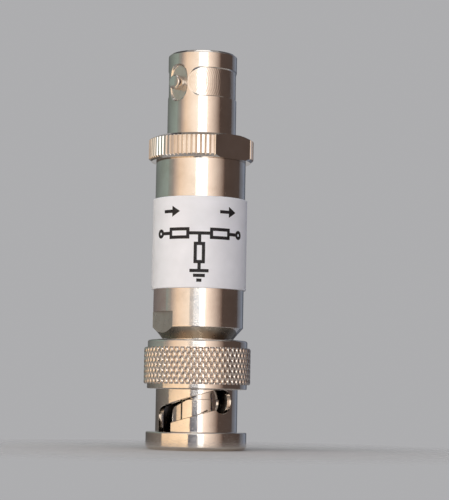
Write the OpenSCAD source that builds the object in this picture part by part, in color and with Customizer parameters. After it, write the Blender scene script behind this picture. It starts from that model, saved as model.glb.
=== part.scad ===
// In-line coaxial attenuator with a bayonet plug and a bayonet jack, in millimetres.
// It stands on the mouth of its coupling nut, with +Z along its axis towards the jack.
// Angles are turned about +Z from the front (-Y), positive to the right.

/* [Mating interface, shared by both ends] */
// Outside diameter of the jack barrel
barrel_d = 9.6; // [9.4:0.1:10]
// Wall of the jack barrel, round the bore that takes the spring fingers of a plug
barrel_wall = 0.75; // [0.7:0.05:0.85]
// Diameter of the bayonet lugs
lug_d = 2; // [1.8:0.1:2.2]
// Reach of the two lugs past the barrel
lug_reach = 0.7; // [0.6:0.05:1]
// Distance from the barrel's mouth to the centres of the lugs
lug_setback = 4.4; // [4.2:0.1:5]
// Diameter of the jack insulator's nose
nose_d = 4.7; // [4.4:0.1:4.9]
// Diameter of the centre pin
pin_d = 1.35; // [1.2:0.05:1.5]

/* [Coupling nut] */
// Diameter of the flange at the nut's mouth
flange_d = 13.9; // [13.2:0.1:14.6]
// Height of the mouth flange
flange_h = 2.45; // [1.9:0.05:2.9]
// Chamfer on the flange's lower edge
flange_chamfer = 0.4; // [0.2:0.05:0.6]
// Wall of the slotted sleeve
sleeve_wall = 0.75; // [0.6:0.05:0.9]
// Height of the slotted sleeve
sleeve_h = 5.8; // [5.5:0.1:7]
// Step from the knurl's points down to the plain bands on both sides of it
knurl_stand = 0.45; // [0.4:0.05:0.7]
// Height of the plain band below the knurl
band_below_h = 0.68; // [0.4:0.02:1.2]
// Height of the plain collar above the knurl
collar_h = 1.05; // [0.8:0.05:1.6]
// Diameter over the points of the diamond knurl
knurl_d = 14.7; // [14.6:0.1:15.2]
// Depth of the diamond knurl
knurl_depth = 0.32; // [0.2:0.02:0.34]
// Height of the knurled band
knurl_h = 5; // [4:0.1:6]
// Distance between diamonds round the nut
knurl_pitch = 0.84; // [0.8:0.02:1.2]
// Height from one row of diamonds to the next
knurl_row_h = 0.72; // [0.6:0.02:1]
// Thickness of the nut's rear wall
rear_wall = 1.2; // [0.9:0.1:1.6]

/* [Bayonet slots] */
// Angle of the first slot's entry
entry_angle = -50.8; // [-180:0.1:180]
// Turn from the entry to the detent
slot_turn = 90; // [80:1:100]
// Turn over which the slot climbs
ramp_turn = 78; // [66:1:79]
// Height that the slot climbs
slot_rise = 2.2; // [1.6:0.1:2.4]
// Extra width of the detent hole at the slot's end, over the slot
detent_extra = 0.6; // [0.4:0.1:0.8]
// Drop of the detent below the slot's highest point
detent_drop = 0.25; // [0.1:0.05:0.4]

/* [Plug] */
// Recess of the finger tips inside the nut's mouth
tip_recess = 2.8; // [2:0.1:3.4]
// Wall of the spring fingers
finger_wall = 0.5; // [0.4:0.05:0.6]
// Number of spring fingers
finger_count = 6; // [4:1:8]
// Width of the slits between the fingers
slit_w = 0.25; // [0.2:0.05:0.4]
// Length of the slits
slit_len = 5; // [4:0.1:6]
// Length of the thicker contact band at the finger tips
contact_band_h = 4.1; // [3.6:0.1:4.6]
// Step from the contact band down to the finger roots
contact_step = 0.12; // [0.06:0.02:0.16]
// Height of the shoulder that carries the spring washer
shoulder_h = 1.5; // [1.2:0.1:1.8]
// Rim of the shoulder round the neck behind it
shoulder_rim = 0.55; // [0.4:0.05:0.65]
// Wall of the neck, round the bore for the insulator
neck_wall = 0.55; // [0.45:0.05:0.65]
// Recess of the insulator and the pin inside the finger tips
pin_recess = 0.7; // [0.4:0.1:1.2]
// Diameter of the pin inside the insulator
shank_d = 2.1; // [1.9:0.1:2.4]
// Depth from the plug body's rear end to its insulator
plug_seat_depth = 3; // [2.6:0.1:3.4]
// Height of the ring that locks the plug insulator
lock_ring_h = 1.5; // [1:0.1:2]
// Thickness of the face gasket
gasket_h = 1; // [0.8:0.1:1.3]

/* [Nut spring] */
// Free height of the wave washer
wave_h = 0.8; // [0.6:0.05:0.9]
// Thickness of the wave washer's strip
wave_strip = 0.3; // [0.2:0.02:0.36]
// Number of waves
wave_count = 3; // [3:1:5]
// Thickness of the thrust washer
thrust_h = 0.3; // [0.2:0.05:0.5]

/* [Housing] */
// Diameter of the housing tube
body_d = 12.5; // [12.2:0.1:12.9]
// Length of the housing's straight tube
body_len = 23; // [22:0.5:30]
// Width of the housing's end face, round the neck of the plug
taper_land = 0.65; // [0.45:0.05:1.05]
// Height of the tapered end
taper_h = 1.55; // [1:0.05:2]
// Thickness of the housing floor, measured from the tapered end
floor_h = 5.25; // [4.6:0.05:6]
// Wall of the housing tube
body_wall = 1.05; // [0.85:0.05:1.15]
// Depth of the spanner flats at the tapered end
spanner_cut = 0.7; // [0.5:0.05:0.9]
// Height of the spanner flats
spanner_h = 3.65; // [2.6:0.05:4.2]
// Angle of the first spanner flat
spanner_angle = -61; // [-180:1:180]

/* [Label] */
// Width of the film label along the tube
label_w = 12.5; // [8:0.5:16]
// Thickness of the film label
label_t = 0.25; // [0.1:0.05:0.4]
// Height of the label's lower edge above the taper
label_up = 5.2; // [3:0.1:6]

/* [Jack] */
// Diameter over the teeth of the jack ring
ring_d = 14.6; // [14.4:0.1:15.2]
// Height of the jack ring
ring_h = 3.35; // [3:0.05:4.5]
// Distance between the teeth of the ring
tooth_pitch = 0.637; // [0.6:0.001:0.9]
// Depth of the grooves between the teeth
tooth_depth = 0.18; // [0.1:0.02:0.3]
// Share of a tooth's pitch that its groove takes
groove_share = 0.45; // [0.3:0.05:0.7]
// Chamfer on the ring's lower edge
ring_chamfer = 0.4; // [0.2:0.05:0.6]
// Width of the bevel round the ring's upper edge
bevel_w = 0.7; // [0.3:0.05:0.9]
// Drop of that bevel
bevel_drop = 0.4; // [0.2:0.05:0.6]
// Depth of the ring's two flats
ring_cut = 0.8; // [0.6:0.05:0.85]
// Angle of the first flat on the ring
ring_angle = 42; // [-180:1:180]
// Length of the barrel above the ring
barrel_len = 11.75; // [11:0.05:14]
// Chamfer on the outer edge of the barrel's mouth
mouth_chamfer = 0.3; // [0.1:0.05:0.4]
// Depth of the barrel's wide bore
socket_depth = 8.4; // [8:0.1:9]
// Width of the milled band at the lugs
band_w = 4.05; // [3.6:0.05:4.4]
// Depth of the milled band
band_depth = 0.2; // [0.1:0.02:0.3]
// Angle from a lug to the rounded end of the milled band
band_gap = 20.8; // [20.6:0.1:30]
// Width of the oval pocket round a lug
pocket_w = 3.4; // [2.8:0.1:3.6]
// Height of that pocket
pocket_h = 5.18; // [4.8:0.02:5.4]
// Depth of that pocket
pocket_depth = 0.4; // [0.36:0.01:0.45]
// Angle of the first lug
lug_angle = -46.3; // [-180:0.1:180]
// Length of the spigot inside the housing
spigot_len = 6; // [5.6:0.1:7]
// Depth of the counterbore for the insulator's flange and its lock ring
seat_depth = 4.7; // [4.4:0.1:5]
// Height of the jack insulator's flange
seat_flange_h = 1.5; // [1:0.1:2]
// Step from the barrel's wide bore down to the bore for the jack insulator
base_step = 0.55; // [0.4:0.05:0.7]
// Step from that bore up to the one for the insulator's flange
seat_step = 0.6; // [0.5:0.05:0.8]
// Recess of the insulator's nose inside the barrel's mouth
nose_recess = 1.2; // [0.8:0.1:2]
// Recess of the contact inside the tip of the nose
contact_recess = 0.2; // [0.1:0.05:0.5]
// Depth of the contact's bore
contact_depth = 6.4; // [5:0.1:7]
// Length of the contact's slits
contact_slit_len = 4.5; // [3:0.1:4.8]
// Width of the contact's slits
contact_slit_w = 0.3; // [0.2:0.05:0.4]

/* [Resistor pad] */
// Diameter of the resistor rods
rod_d = 1.6; // [1.2:0.1:1.8]
// Wall of the metal caps on the rods
cap_wall = 0.2; // [0.15:0.05:0.3]
// Length of the metal caps
cap_len = 1.6; // [1.2:0.1:2]
// Wall of the sockets that take the caps
socket_wall = 0.6; // [0.4:0.05:0.7]
// Depth of the sockets in the pin and the contact
cup_depth = 1.4; // [1.2:0.1:1.8]
// Reach of those sockets past the housing floor and the spigot
cup_reach = 0.5; // [0.3:0.1:1]
// Thickness of the shunt disc
disc_h = 0.8; // [0.6:0.1:1.2]
// Depth of the sockets in the shunt hub
hub_depth = 1.2; // [1:0.1:1.6]
// Rim of the hub's flange on the disc
hub_rim = 0.6; // [0.4:0.1:1]
// Thickness of the hub's flange
hub_flange_h = 0.4; // [0.3:0.1:0.6]
// Wall of the spacer tubes
spacer_wall = 1; // [0.8:0.1:1.4]

/* [Clearances] */
// Radial gap of pressed and seated pieces
fit_gap = 0.02; // [0.01:0.01:0.03]
// Radial gap of the nut on the plug and on a mating barrel
run_gap = 0.1; // [0.06:0.02:0.14]
// Gap between the nut and the housing at rest
nut_gap = 0.15; // [0.1:0.05:0.3]
// Radial gap between the fingers and a mating bore
finger_gap = 0.025; // [0.01:0.005:0.04]
// Room for the fingers to spring inwards over the insulator
spring_room = 0.2; // [0.15:0.05:0.3]
// Radial gap round a mating nose
nose_gap = 0.075; // [0.05:0.025:0.15]
// Radial gap between a pin and a contact's bore
contact_gap = 0.015; // [0.01:0.005:0.02]
// Room on each side of a lug in a slot
lug_room = 0.3; // [0.2:0.05:0.35]
// Room over a lug's tip inside the mouth flange
tip_room = 0.25; // [0.15:0.05:0.4]
// Metal left between a detent and the band above it
slot_web = 0.04; // [0.02:0.01:0.1]
// Small edge chamfer
edge = 0.15; // [0.05:0.05:0.2]

/* [Hidden] */
$fn = 96;

// Colours of the materials
nickel = [0.80, 0.76, 0.70];
film_white = [0.93, 0.92, 0.89];
gold = [0.85, 0.66, 0.30];
ptfe = [0.95, 0.95, 0.93];
brass = [0.78, 0.62, 0.33];
spring_steel = [0.62, 0.62, 0.64];
silicone = [0.70, 0.28, 0.20];
ceramic_white = [0.90, 0.88, 0.84];

// Extra length of a cutter past the faces that it opens
past = 0.5;
// Degrees between the points of a rounded outline
arc_step = 15;

// Diameters that follow from the barrel
barrel_bore = barrel_d - 2 * barrel_wall;
lug_span = barrel_d + 2 * lug_reach;
nut_bore = barrel_d + 2 * run_gap;
shoulder_d = nut_bore - 2 * run_gap;
neck_d = shoulder_d - 2 * shoulder_rim;
rear_bore = neck_d - 2 * neck_wall;
base_d = barrel_bore - 2 * base_step;
seat_d = base_d + 2 * seat_step;

// Nut, from its mouth upwards
collar_d = knurl_d - 2 * knurl_stand;
sleeve_r = nut_bore / 2 + sleeve_wall;
sleeve_top = flange_h + sleeve_h;
knurl_z = sleeve_top + band_below_h;
knurl_top = knurl_z + knurl_h;
nut_top = knurl_top + collar_h;
rear_z = nut_top - rear_wall;
neck_hole_d = neck_d + 2 * run_gap;
knurl_count = round(PI * knurl_d / knurl_pitch);
knurl_rows = round(knurl_h / knurl_row_h);
knurl_core_r = (nut_bore + collar_d) / 4;

// Bayonet slots
slot_w = lug_d + 2 * lug_room;
detent_d = slot_w + detent_extra;
detent_z = sleeve_top - detent_d / 2 - slot_web;
slot_peak = detent_z + detent_drop;
slot_start = slot_peak - slot_rise;
groove_r = lug_span / 2 + tip_room;
slot_steps = 24;
// Turn by which the climbing cut starts inside the entry
ramp_lead = 3;

// Plug, from the nut's rear wall downwards
thrust_z = rear_z - thrust_h;
wave_z = thrust_z - wave_h;
shoulder_z = wave_z - shoulder_h;
gasket_z = shoulder_z - gasket_h;
finger_d = barrel_bore - 2 * finger_gap;
finger_bore = finger_d - 2 * finger_wall;
root_d = finger_d - 2 * contact_step;
washer_bore = neck_d + 2 * run_gap;
pin_tip_z = tip_recess + pin_recess;
steps_per_wave = 24;

// Housing
housing_bore = body_d - 2 * body_wall;
taper_d = neck_d + 2 * taper_land;
spanner_span = body_d - 2 * spanner_cut;
housing_z = nut_top + nut_gap;
tube_z = housing_z + taper_h;
housing_top = tube_z + body_len;
floor_z = housing_z + floor_h;
plug_seat_z = floor_z - plug_seat_depth;
label_z = tube_z + label_up;

// Jack
ring_span = ring_d - 2 * ring_cut;
ring_top = housing_top + ring_h;
mouth_z = ring_top + barrel_len;
socket_z = mouth_z - socket_depth;
lug_z = mouth_z - lug_setback;
nose_z = mouth_z - nose_recess;
contact_z = nose_z - contact_recess;
spigot_z = housing_top - spigot_len;
seat_top = spigot_z + seat_depth;
seat_z = seat_top - seat_flange_h;
spigot_d = housing_bore - 2 * fit_gap;
contact_bore = pin_d + 2 * contact_gap;
tooth_count = round(PI * ring_d / tooth_pitch);
// The band's rounded ends are this share of its width, so that no two sides coincide
band_end_share = 0.99;

// Resistor pad, centred between the housing floor and the spigot
pad_z = (floor_z + spigot_z) / 2;
disc_z = pad_z - disc_h / 2;
disc_top = pad_z + disc_h / 2;
cap_d = rod_d + 2 * fit_gap + 2 * cap_wall;
socket_bore = cap_d + 2 * fit_gap;
cup_d = socket_bore + 2 * socket_wall;
hub_d = cup_d;
plug_cup_z = floor_z + cup_reach;
jack_cup_z = spigot_z - cup_reach;
lower_rod_z = plug_cup_z - cup_depth;
upper_rod_top = jack_cup_z + cup_depth;

// Shapes used by several pieces

function polar(r, angle, z) = [r * sin(angle), -r * cos(angle), z];

module turned(profile) {
    rotate_extrude() polygon(profile);
}

module tube(outer_d, inner_d, z, top) {
    turned([
        [inner_d / 2, z], [outer_d / 2, z],
        [outer_d / 2, top], [inner_d / 2, top]
    ]);
}

// A round bar along the radius at an angle, between two distances from the axis
module radial_bar(d, angle, z, from_r, to_r) {
    rotate([0, 0, angle]) translate([0, 0, z]) rotate([90, 0, 0])
        translate([0, 0, from_r]) cylinder(d = d, h = to_r - from_r);
}

// A block along the radius at an angle, open to any shape in the radial view
module radial_block(width, angle, z, top, from_r, to_r) {
    rotate([0, 0, angle]) translate([-width / 2, -to_r, z])
        cube([width, to_r - from_r, top - z]);
}

// Everything beyond two flats that lie opposite each other
module outside_flats(span, angle, z, top, outer_d) {
    for (turn = [0, 180])
        radial_block(2 * outer_d, angle + turn, z, top, span / 2, outer_d);
}

// A rod's two metal caps, between two ends
module rod_caps(z, top) {
    rod_bore = rod_d + 2 * fit_gap;
    turned([
        [0, z], [cap_d / 2, z], [cap_d / 2, z + cap_len],
        [rod_bore / 2, z + cap_len], [rod_bore / 2, z + cap_wall], [0, z + cap_wall]
    ]);
    turned([
        [0, top], [0, top - cap_wall], [rod_bore / 2, top - cap_wall],
        [rod_bore / 2, top - cap_len], [cap_d / 2, top - cap_len], [cap_d / 2, top]
    ]);
}

module resistor_rod(z, top) {
    translate([0, 0, z + cap_wall]) cylinder(d = rod_d, h = top - z - 2 * cap_wall);
}

// Jack

module jack_turning() {
    ring_r = ring_d / 2;
    turned([
        [seat_d / 2, spigot_z], [spigot_d / 2 - edge, spigot_z],
        [spigot_d / 2, spigot_z + edge], [spigot_d / 2, housing_top],
        [ring_r - ring_chamfer, housing_top], [ring_r, housing_top + ring_chamfer],
        [ring_r, ring_top - bevel_drop], [ring_r - bevel_w, ring_top],
        [barrel_d / 2, ring_top], [barrel_d / 2, mouth_z - mouth_chamfer],
        [barrel_d / 2 - mouth_chamfer, mouth_z], [barrel_bore / 2 + edge, mouth_z],
        [barrel_bore / 2, mouth_z - edge], [barrel_bore / 2, socket_z],
        [base_d / 2, socket_z], [base_d / 2, seat_top], [seat_d / 2, seat_top]
    ]);
}

// V grooves that leave straight teeth round the ring
module tooth_grooves() {
    groove_w = groove_share * tooth_pitch;
    mouth = groove_w * (tooth_depth + past) / tooth_depth;
    for (i = [0 : tooth_count - 1])
        rotate([0, 0, ring_angle + (i + 0.5) * 360 / tooth_count])
            translate([0, -ring_d / 2, housing_top - past])
                linear_extrude(height = ring_h + 2 * past)
                    polygon([[-mouth / 2, -past], [mouth / 2, -past], [0, tooth_depth]]);
}

// Shallow band with rounded ends, milled between the lugs on both sides
module milled_band() {
    floor_r = barrel_d / 2 - band_depth;
    end_turn = asin(band_w / barrel_d);
    start = lug_angle + band_gap + end_turn;
    sweep = 180 - 2 * (band_gap + end_turn);
    for (side = [0, 180]) {
        rotate([0, 0, start + side - 90])
            rotate_extrude(angle = sweep)
                translate([floor_r, lug_z - band_w / 2])
                    square([band_depth + past, band_w]);
        intersection() {
            tube(barrel_d + 2 * past, 2 * floor_r, lug_z - band_w, lug_z + band_w);
            for (end = [start, start + sweep])
                radial_bar(band_end_share * band_w, end + side, lug_z, barrel_d / 4, barrel_d);
        }
    }
}

module lug_pockets() {
    for (side = [0, 180])
        rotate([0, 0, lug_angle + side]) translate([0, 0, lug_z]) rotate([90, 0, 0])
            translate([0, 0, barrel_d / 2 - pocket_depth])
                linear_extrude(height = barrel_d) scale([pocket_w, pocket_h]) circle(d = 1);
}

module lugs() {
    root_r = (barrel_bore + barrel_d - 2 * pocket_depth) / 4;
    tip_r = lug_span / 2;
    for (side = [0, 180])
        rotate([0, 0, lug_angle + side]) translate([0, 0, lug_z]) rotate([90, 0, 0])
            turned([
                [0, root_r], [lug_d / 2, root_r], [lug_d / 2, tip_r - edge],
                [lug_d / 2 - edge, tip_r], [0, tip_r]
            ]);
}

module jack_shell() {
    color(nickel) {
        difference() {
            jack_turning();
            tooth_grooves();
            outside_flats(ring_span, ring_angle, housing_top - past, ring_top + past, ring_d);
            milled_band();
            lug_pockets();
        }
        lugs();
    }
}

module jack_insulator() {
    shank_bore = shank_d + 2 * fit_gap;
    color(ptfe) turned([
        [shank_bore / 2, seat_z], [seat_d / 2 - fit_gap, seat_z],
        [seat_d / 2 - fit_gap, seat_top - fit_gap], [base_d / 2 - fit_gap, seat_top - fit_gap],
        [base_d / 2 - fit_gap, socket_z], [nose_d / 2, socket_z],
        [nose_d / 2, nose_z - edge], [nose_d / 2 - edge, nose_z], [shank_bore / 2, nose_z]
    ]);
}

module jack_contact() {
    color(gold) difference() {
        turned([
            [socket_bore / 2, jack_cup_z], [cup_d / 2, jack_cup_z], [cup_d / 2, seat_z],
            [shank_d / 2, seat_z], [shank_d / 2, contact_z],
            [contact_bore / 2 + edge, contact_z], [contact_bore / 2, contact_z - edge],
            [contact_bore / 2, contact_z - contact_depth], [0, contact_z - contact_depth],
            [0, upper_rod_top], [socket_bore / 2, upper_rod_top]
        ]);
        for (turn = [0, 90])
            rotate([0, 0, turn])
                translate([-contact_slit_w / 2, -shank_d, contact_z - contact_slit_len])
                    cube([contact_slit_w, 2 * shank_d, contact_slit_len + past]);
    }
}

module jack_lock_ring() {
    bore = cup_d + 2 * socket_wall;
    color(brass) tube(seat_d - 2 * fit_gap, bore, seat_z - lock_ring_h, seat_z);
}

// Body

module housing() {
    hole_d = neck_d + 2 * fit_gap;
    color(nickel) difference() {
        turned([
            [hole_d / 2, housing_z], [taper_d / 2, housing_z], [body_d / 2, tube_z],
            [body_d / 2, housing_top], [housing_bore / 2, housing_top],
            [housing_bore / 2, floor_z], [hole_d / 2, floor_z]
        ]);
        outside_flats(spanner_span, spanner_angle, housing_z - past, housing_z + spanner_h, body_d);
    }
}

module label_sleeve() {
    inner_d = body_d + 2 * fit_gap;
    color(film_white) tube(inner_d + 2 * label_t, inner_d, label_z, label_z + label_w);
}

// Resistor pad

module spacer(z, top) {
    outer_d = housing_bore - 2 * fit_gap;
    tube(outer_d, outer_d - 2 * spacer_wall, z, top);
}

module lower_spacer() {
    color(brass) spacer(floor_z, disc_z);
}

module upper_spacer() {
    color(brass) spacer(disc_top, spigot_z);
}

module lower_resistor_rod() {
    color(ceramic_white) resistor_rod(lower_rod_z, disc_z);
}

module upper_resistor_rod() {
    color(ceramic_white) resistor_rod(disc_top, upper_rod_top);
}

module lower_resistor_caps() {
    color(spring_steel) rod_caps(lower_rod_z, disc_z);
}

module upper_resistor_caps() {
    color(spring_steel) rod_caps(disc_top, upper_rod_top);
}

module shunt_disc() {
    color(ceramic_white)
        tube(housing_bore - 2 * fit_gap, hub_d + 2 * fit_gap, disc_z, disc_top);
}

// The hub grips the disc with its flange and takes a rod's cap in each end
module shunt_hub() {
    color(gold) turned([
        [socket_bore / 2, disc_z - hub_depth], [hub_d / 2, disc_z - hub_depth],
        [hub_d / 2, disc_top], [hub_d / 2 + hub_rim, disc_top],
        [hub_d / 2 + hub_rim, disc_top + hub_flange_h], [hub_d / 2, disc_top + hub_flange_h],
        [hub_d / 2, disc_top + hub_depth], [socket_bore / 2, disc_top + hub_depth],
        [socket_bore / 2, disc_top], [0, disc_top],
        [0, disc_z], [socket_bore / 2, disc_z]
    ]);
}

// Plug

module plug_body() {
    band_top = tip_recess + contact_band_h;
    color(nickel) difference() {
        turned([
            [finger_bore / 2, tip_recess], [finger_d / 2 - edge, tip_recess],
            [finger_d / 2, tip_recess + edge], [finger_d / 2, band_top],
            [root_d / 2, band_top], [root_d / 2, shoulder_z],
            [shoulder_d / 2, shoulder_z], [shoulder_d / 2, wave_z],
            [neck_d / 2, wave_z], [neck_d / 2, floor_z],
            [rear_bore / 2, floor_z], [rear_bore / 2, shoulder_z],
            [finger_bore / 2, shoulder_z]
        ]);
        for (i = [0 : finger_count - 1])
            radial_block(slit_w, (i + 0.5) * 360 / finger_count, tip_recess - past,
                tip_recess + slit_len, finger_bore / 4, finger_d);
    }
}

module plug_insulator() {
    front_r = finger_bore / 2 - spring_room;
    cavity_r = nose_d / 2 + nose_gap;
    shank_r = shank_d / 2 + fit_gap;
    color(ptfe) turned([
        [cavity_r, pin_tip_z], [front_r, pin_tip_z], [front_r, shoulder_z + fit_gap],
        [rear_bore / 2 - fit_gap, shoulder_z + fit_gap], [rear_bore / 2 - fit_gap, plug_seat_z],
        [shank_r, plug_seat_z], [shank_r, gasket_z], [cavity_r, gasket_z]
    ]);
}

module plug_pin() {
    tip_r = pin_d / 2;
    rounding = [for (a = [0 : arc_step : 90]) [tip_r * sin(a), pin_tip_z + tip_r - tip_r * cos(a)]];
    color(gold) turned(concat(rounding, [
        [tip_r, gasket_z], [shank_d / 2, gasket_z], [shank_d / 2, plug_seat_z],
        [cup_d / 2, plug_seat_z], [cup_d / 2, plug_cup_z], [socket_bore / 2, plug_cup_z],
        [socket_bore / 2, lower_rod_z], [0, lower_rod_z]
    ]));
}

module plug_lock_ring() {
    bore = cup_d + 2 * socket_wall;
    color(brass) tube(rear_bore - 2 * fit_gap, bore, plug_seat_z, plug_seat_z + lock_ring_h);
}

module plug_gasket() {
    color(silicone) tube(shoulder_d, root_d + 2 * fit_gap, gasket_z, shoulder_z);
}

// Nut and its spring

function wave_point(r, angle, lift) =
    polar(r, angle, wave_z + lift + (wave_h - wave_strip) * (1 - cos(wave_count * angle)) / 2);

// A ring of rectangular section that rises and falls round its turn
module wave_washer() {
    inner_r = washer_bore / 2;
    outer_r = shoulder_d / 2;
    steps = steps_per_wave * wave_count;
    points = [
        for (i = [0 : steps - 1])
            for (corner = [[inner_r, 0], [outer_r, 0], [outer_r, wave_strip], [inner_r, wave_strip]])
                wave_point(corner[0], i * 360 / steps, corner[1])
    ];
    faces = [
        for (i = [0 : steps - 1])
            for (side = [0 : 3])
                let (ahead = (i + 1) % steps, up = (side + 1) % 4)
                    [4 * i + side, 4 * i + up, 4 * ahead + up, 4 * ahead + side]
    ];
    color(spring_steel) polyhedron(points, faces);
}

module thrust_washer() {
    color(spring_steel) tube(shoulder_d, washer_bore, thrust_z, rear_z);
}

module nut_turning() {
    collar_r = collar_d / 2;
    flange_r = flange_d / 2;
    turned([
        [nut_bore / 2 + edge, 0], [flange_r - flange_chamfer, 0], [flange_r, flange_chamfer],
        [flange_r, flange_h - edge], [flange_r - edge, flange_h],
        [sleeve_r, flange_h], [sleeve_r, sleeve_top],
        [collar_r - edge, sleeve_top], [collar_r, sleeve_top + edge],
        [collar_r, nut_top - 2 * edge], [collar_r - 2 * edge, nut_top],
        [neck_hole_d / 2, nut_top], [neck_hole_d / 2, rear_z],
        [nut_bore / 2, rear_z], [nut_bore / 2, edge]
    ]);
}

// Diamond knurl: points and crossings of the grooves alternate along each row,
// and the facets fold along the grooves. They run out to a plain edge at both ends.
module knurl_band() {
    sides = 2 * knurl_count;
    last = knurl_rows + 1;
    valley_r = knurl_d / 2 - knurl_depth;
    function row_z(j) = knurl_z + min(max(0, j - 0.5), knurl_rows) * knurl_h / knurl_rows;
    function row_r(i, j) = (i + j) % 2 == 1 || j == 0 || j == last ? valley_r : knurl_d / 2;
    function at(i, j) = j * sides + i % sides;
    inner_low = last + 1;
    inner_high = last + 2;
    points = concat(
        [for (j = [0 : last]) for (i = [0 : sides - 1]) polar(row_r(i, j), i * 360 / sides, row_z(j))],
        [for (z = [knurl_z, knurl_top]) for (i = [0 : sides - 1])
            polar(knurl_core_r, i * 360 / sides, z)]
    );
    facets = [
        for (j = [0 : last - 1]) for (i = [0 : sides - 1])
            each (i + j) % 2 == 0
                ? [[at(i, j), at(i, j + 1), at(i + 1, j)],
                   [at(i, j + 1), at(i + 1, j + 1), at(i + 1, j)]]
                : [[at(i, j), at(i, j + 1), at(i + 1, j + 1)],
                   [at(i, j), at(i + 1, j + 1), at(i + 1, j)]]
    ];
    closing = [
        for (i = [0 : sides - 1]) each [
            [at(i, 0), at(i + 1, 0), at(i + 1, inner_low), at(i, inner_low)],
            [at(i + 1, last), at(i, last), at(i, inner_high), at(i + 1, inner_high)],
            [at(i, inner_low), at(i + 1, inner_low), at(i + 1, inner_high), at(i, inner_high)]
        ]
    ];
    polyhedron(points, concat(facets, closing));
}

function slot_height(turn) = slot_start + slot_rise * min(1, turn / ramp_turn);

// Climbing part of a bayonet slot, swept from the entry to the detent
module slot_ramp(angle) {
    inner_r = nut_bore / 2 - past;
    outer_r = sleeve_r + past;
    points = [
        for (i = [0 : slot_steps])
            let (turn = i * (slot_turn + ramp_lead) / slot_steps - ramp_lead, z = slot_height(turn))
                for (corner = [[inner_r, -1], [outer_r, -1], [outer_r, 1], [inner_r, 1]])
                    polar(corner[0], angle + turn, z + corner[1] * slot_w / 2)
    ];
    sweep_faces = [
        for (i = [0 : slot_steps - 1]) for (side = [0 : 3])
            let (up = (side + 1) % 4)
                [4 * i + side, 4 * i + up, 4 * i + 4 + up, 4 * i + 4 + side]
    ];
    last = 4 * slot_steps;
    polyhedron(points, concat(sweep_faces, [[3, 2, 1, 0], [last, last + 1, last + 2, last + 3]]));
}

// The way in for a lug: a round-topped cut in the sleeve and a groove inside the flange
module slot_entry(angle) {
    inner_r = nut_bore / 2 - past;
    round_top = [for (a = [0 : arc_step : 180]) slot_w / 2 * [cos(a), sin(a)]];
    foot = flange_h - slot_start;
    rotate([0, 0, angle]) translate([0, 0, slot_start]) rotate([90, 0, 0])
        translate([0, 0, inner_r]) linear_extrude(height = sleeve_r + past - inner_r)
            polygon(concat(round_top, [[-slot_w / 2, foot], [slot_w / 2, foot]]));
    radial_block(slot_w, angle, -past, slot_start, inner_r, groove_r);
}

module coupling_nut() {
    color(nickel) difference() {
        union() {
            nut_turning();
            knurl_band();
        }
        for (side = [0, 180]) {
            slot_ramp(entry_angle + side);
            slot_entry(entry_angle + side);
            radial_bar(detent_d, entry_angle + slot_turn + side, detent_z,
                nut_bore / 2 - past, sleeve_r + past);
        }
    }
}

jack_shell();
jack_insulator();
jack_contact();
jack_lock_ring();
housing();
label_sleeve();
upper_spacer();
upper_resistor_rod();
upper_resistor_caps();
shunt_disc();
shunt_hub();
lower_spacer();
lower_resistor_rod();
lower_resistor_caps();
plug_body();
plug_insulator();
plug_pin();
plug_lock_ring();
plug_gasket();
wave_washer();
thrust_washer();
coupling_nut();
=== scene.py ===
import math

import bmesh
import bpy
import numpy as np
from mathutils import Matrix, Vector


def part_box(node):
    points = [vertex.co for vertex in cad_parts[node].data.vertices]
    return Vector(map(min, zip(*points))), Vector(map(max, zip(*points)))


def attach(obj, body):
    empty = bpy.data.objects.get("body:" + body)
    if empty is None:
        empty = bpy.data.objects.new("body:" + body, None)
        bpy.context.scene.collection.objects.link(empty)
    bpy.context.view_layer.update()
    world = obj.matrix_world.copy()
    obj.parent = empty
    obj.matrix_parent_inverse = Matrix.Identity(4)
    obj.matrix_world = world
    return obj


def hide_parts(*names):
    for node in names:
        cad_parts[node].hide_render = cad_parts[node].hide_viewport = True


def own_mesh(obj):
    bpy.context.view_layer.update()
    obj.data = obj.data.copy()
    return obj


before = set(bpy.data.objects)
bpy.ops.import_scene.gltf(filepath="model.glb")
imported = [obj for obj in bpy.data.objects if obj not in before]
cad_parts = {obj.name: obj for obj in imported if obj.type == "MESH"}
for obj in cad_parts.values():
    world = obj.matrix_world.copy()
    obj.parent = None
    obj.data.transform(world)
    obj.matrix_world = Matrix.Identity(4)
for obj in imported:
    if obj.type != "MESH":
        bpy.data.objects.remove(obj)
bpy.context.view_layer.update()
mm = 0.001                                    # pieces are drawn in millimetres and scaled when finished
tiny = 0.01                                   # places nearer than this count as the same
scene = bpy.context.scene
scene.view_settings.view_transform = "Standard"
print("frame loaded with", len(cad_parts), "nodes")


def span(node):
    low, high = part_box(node)
    return low.z / mm, high.z / mm


def outerRadius(node):
    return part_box(node)[1].x / mm


# Heights that the pieces share, from the frame
nutFoot, nutTop = span("coupling_nut")
tipFoot, neckTop = span("plug_body")
pinTip, pinTop = span("plug_pin")
gasketFoot, shoulderFoot = span("plug_gasket")
waveFoot, waveTop = span("wave_washer")
nutRear = span("thrust_washer")[1]
housingFoot, housingTop = span("housing")
labelFoot, labelTop = span("label_sleeve")
spigotFoot, mouthTop = span("jack_shell")
seatFoot, noseTop = span("jack_insulator")
contactFoot, contactTop = span("jack_contact")
plugSeat = span("plug_insulator")[1]
lugDrop = 4.4                                 # from the jack's mouth down to its lugs
lugHeight = mouthTop - lugDrop

# Camera, at the photo's place and angle
view = {
    "place": (0.0, -235.0, 7.44),             # mm
    "pitch": 4.9, "yaw": 0.85, "roll": 1.0,   # degrees: up, right, clockwise lean of the part
    "lens": 122.4, "sensor": 36.0,
}


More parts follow.
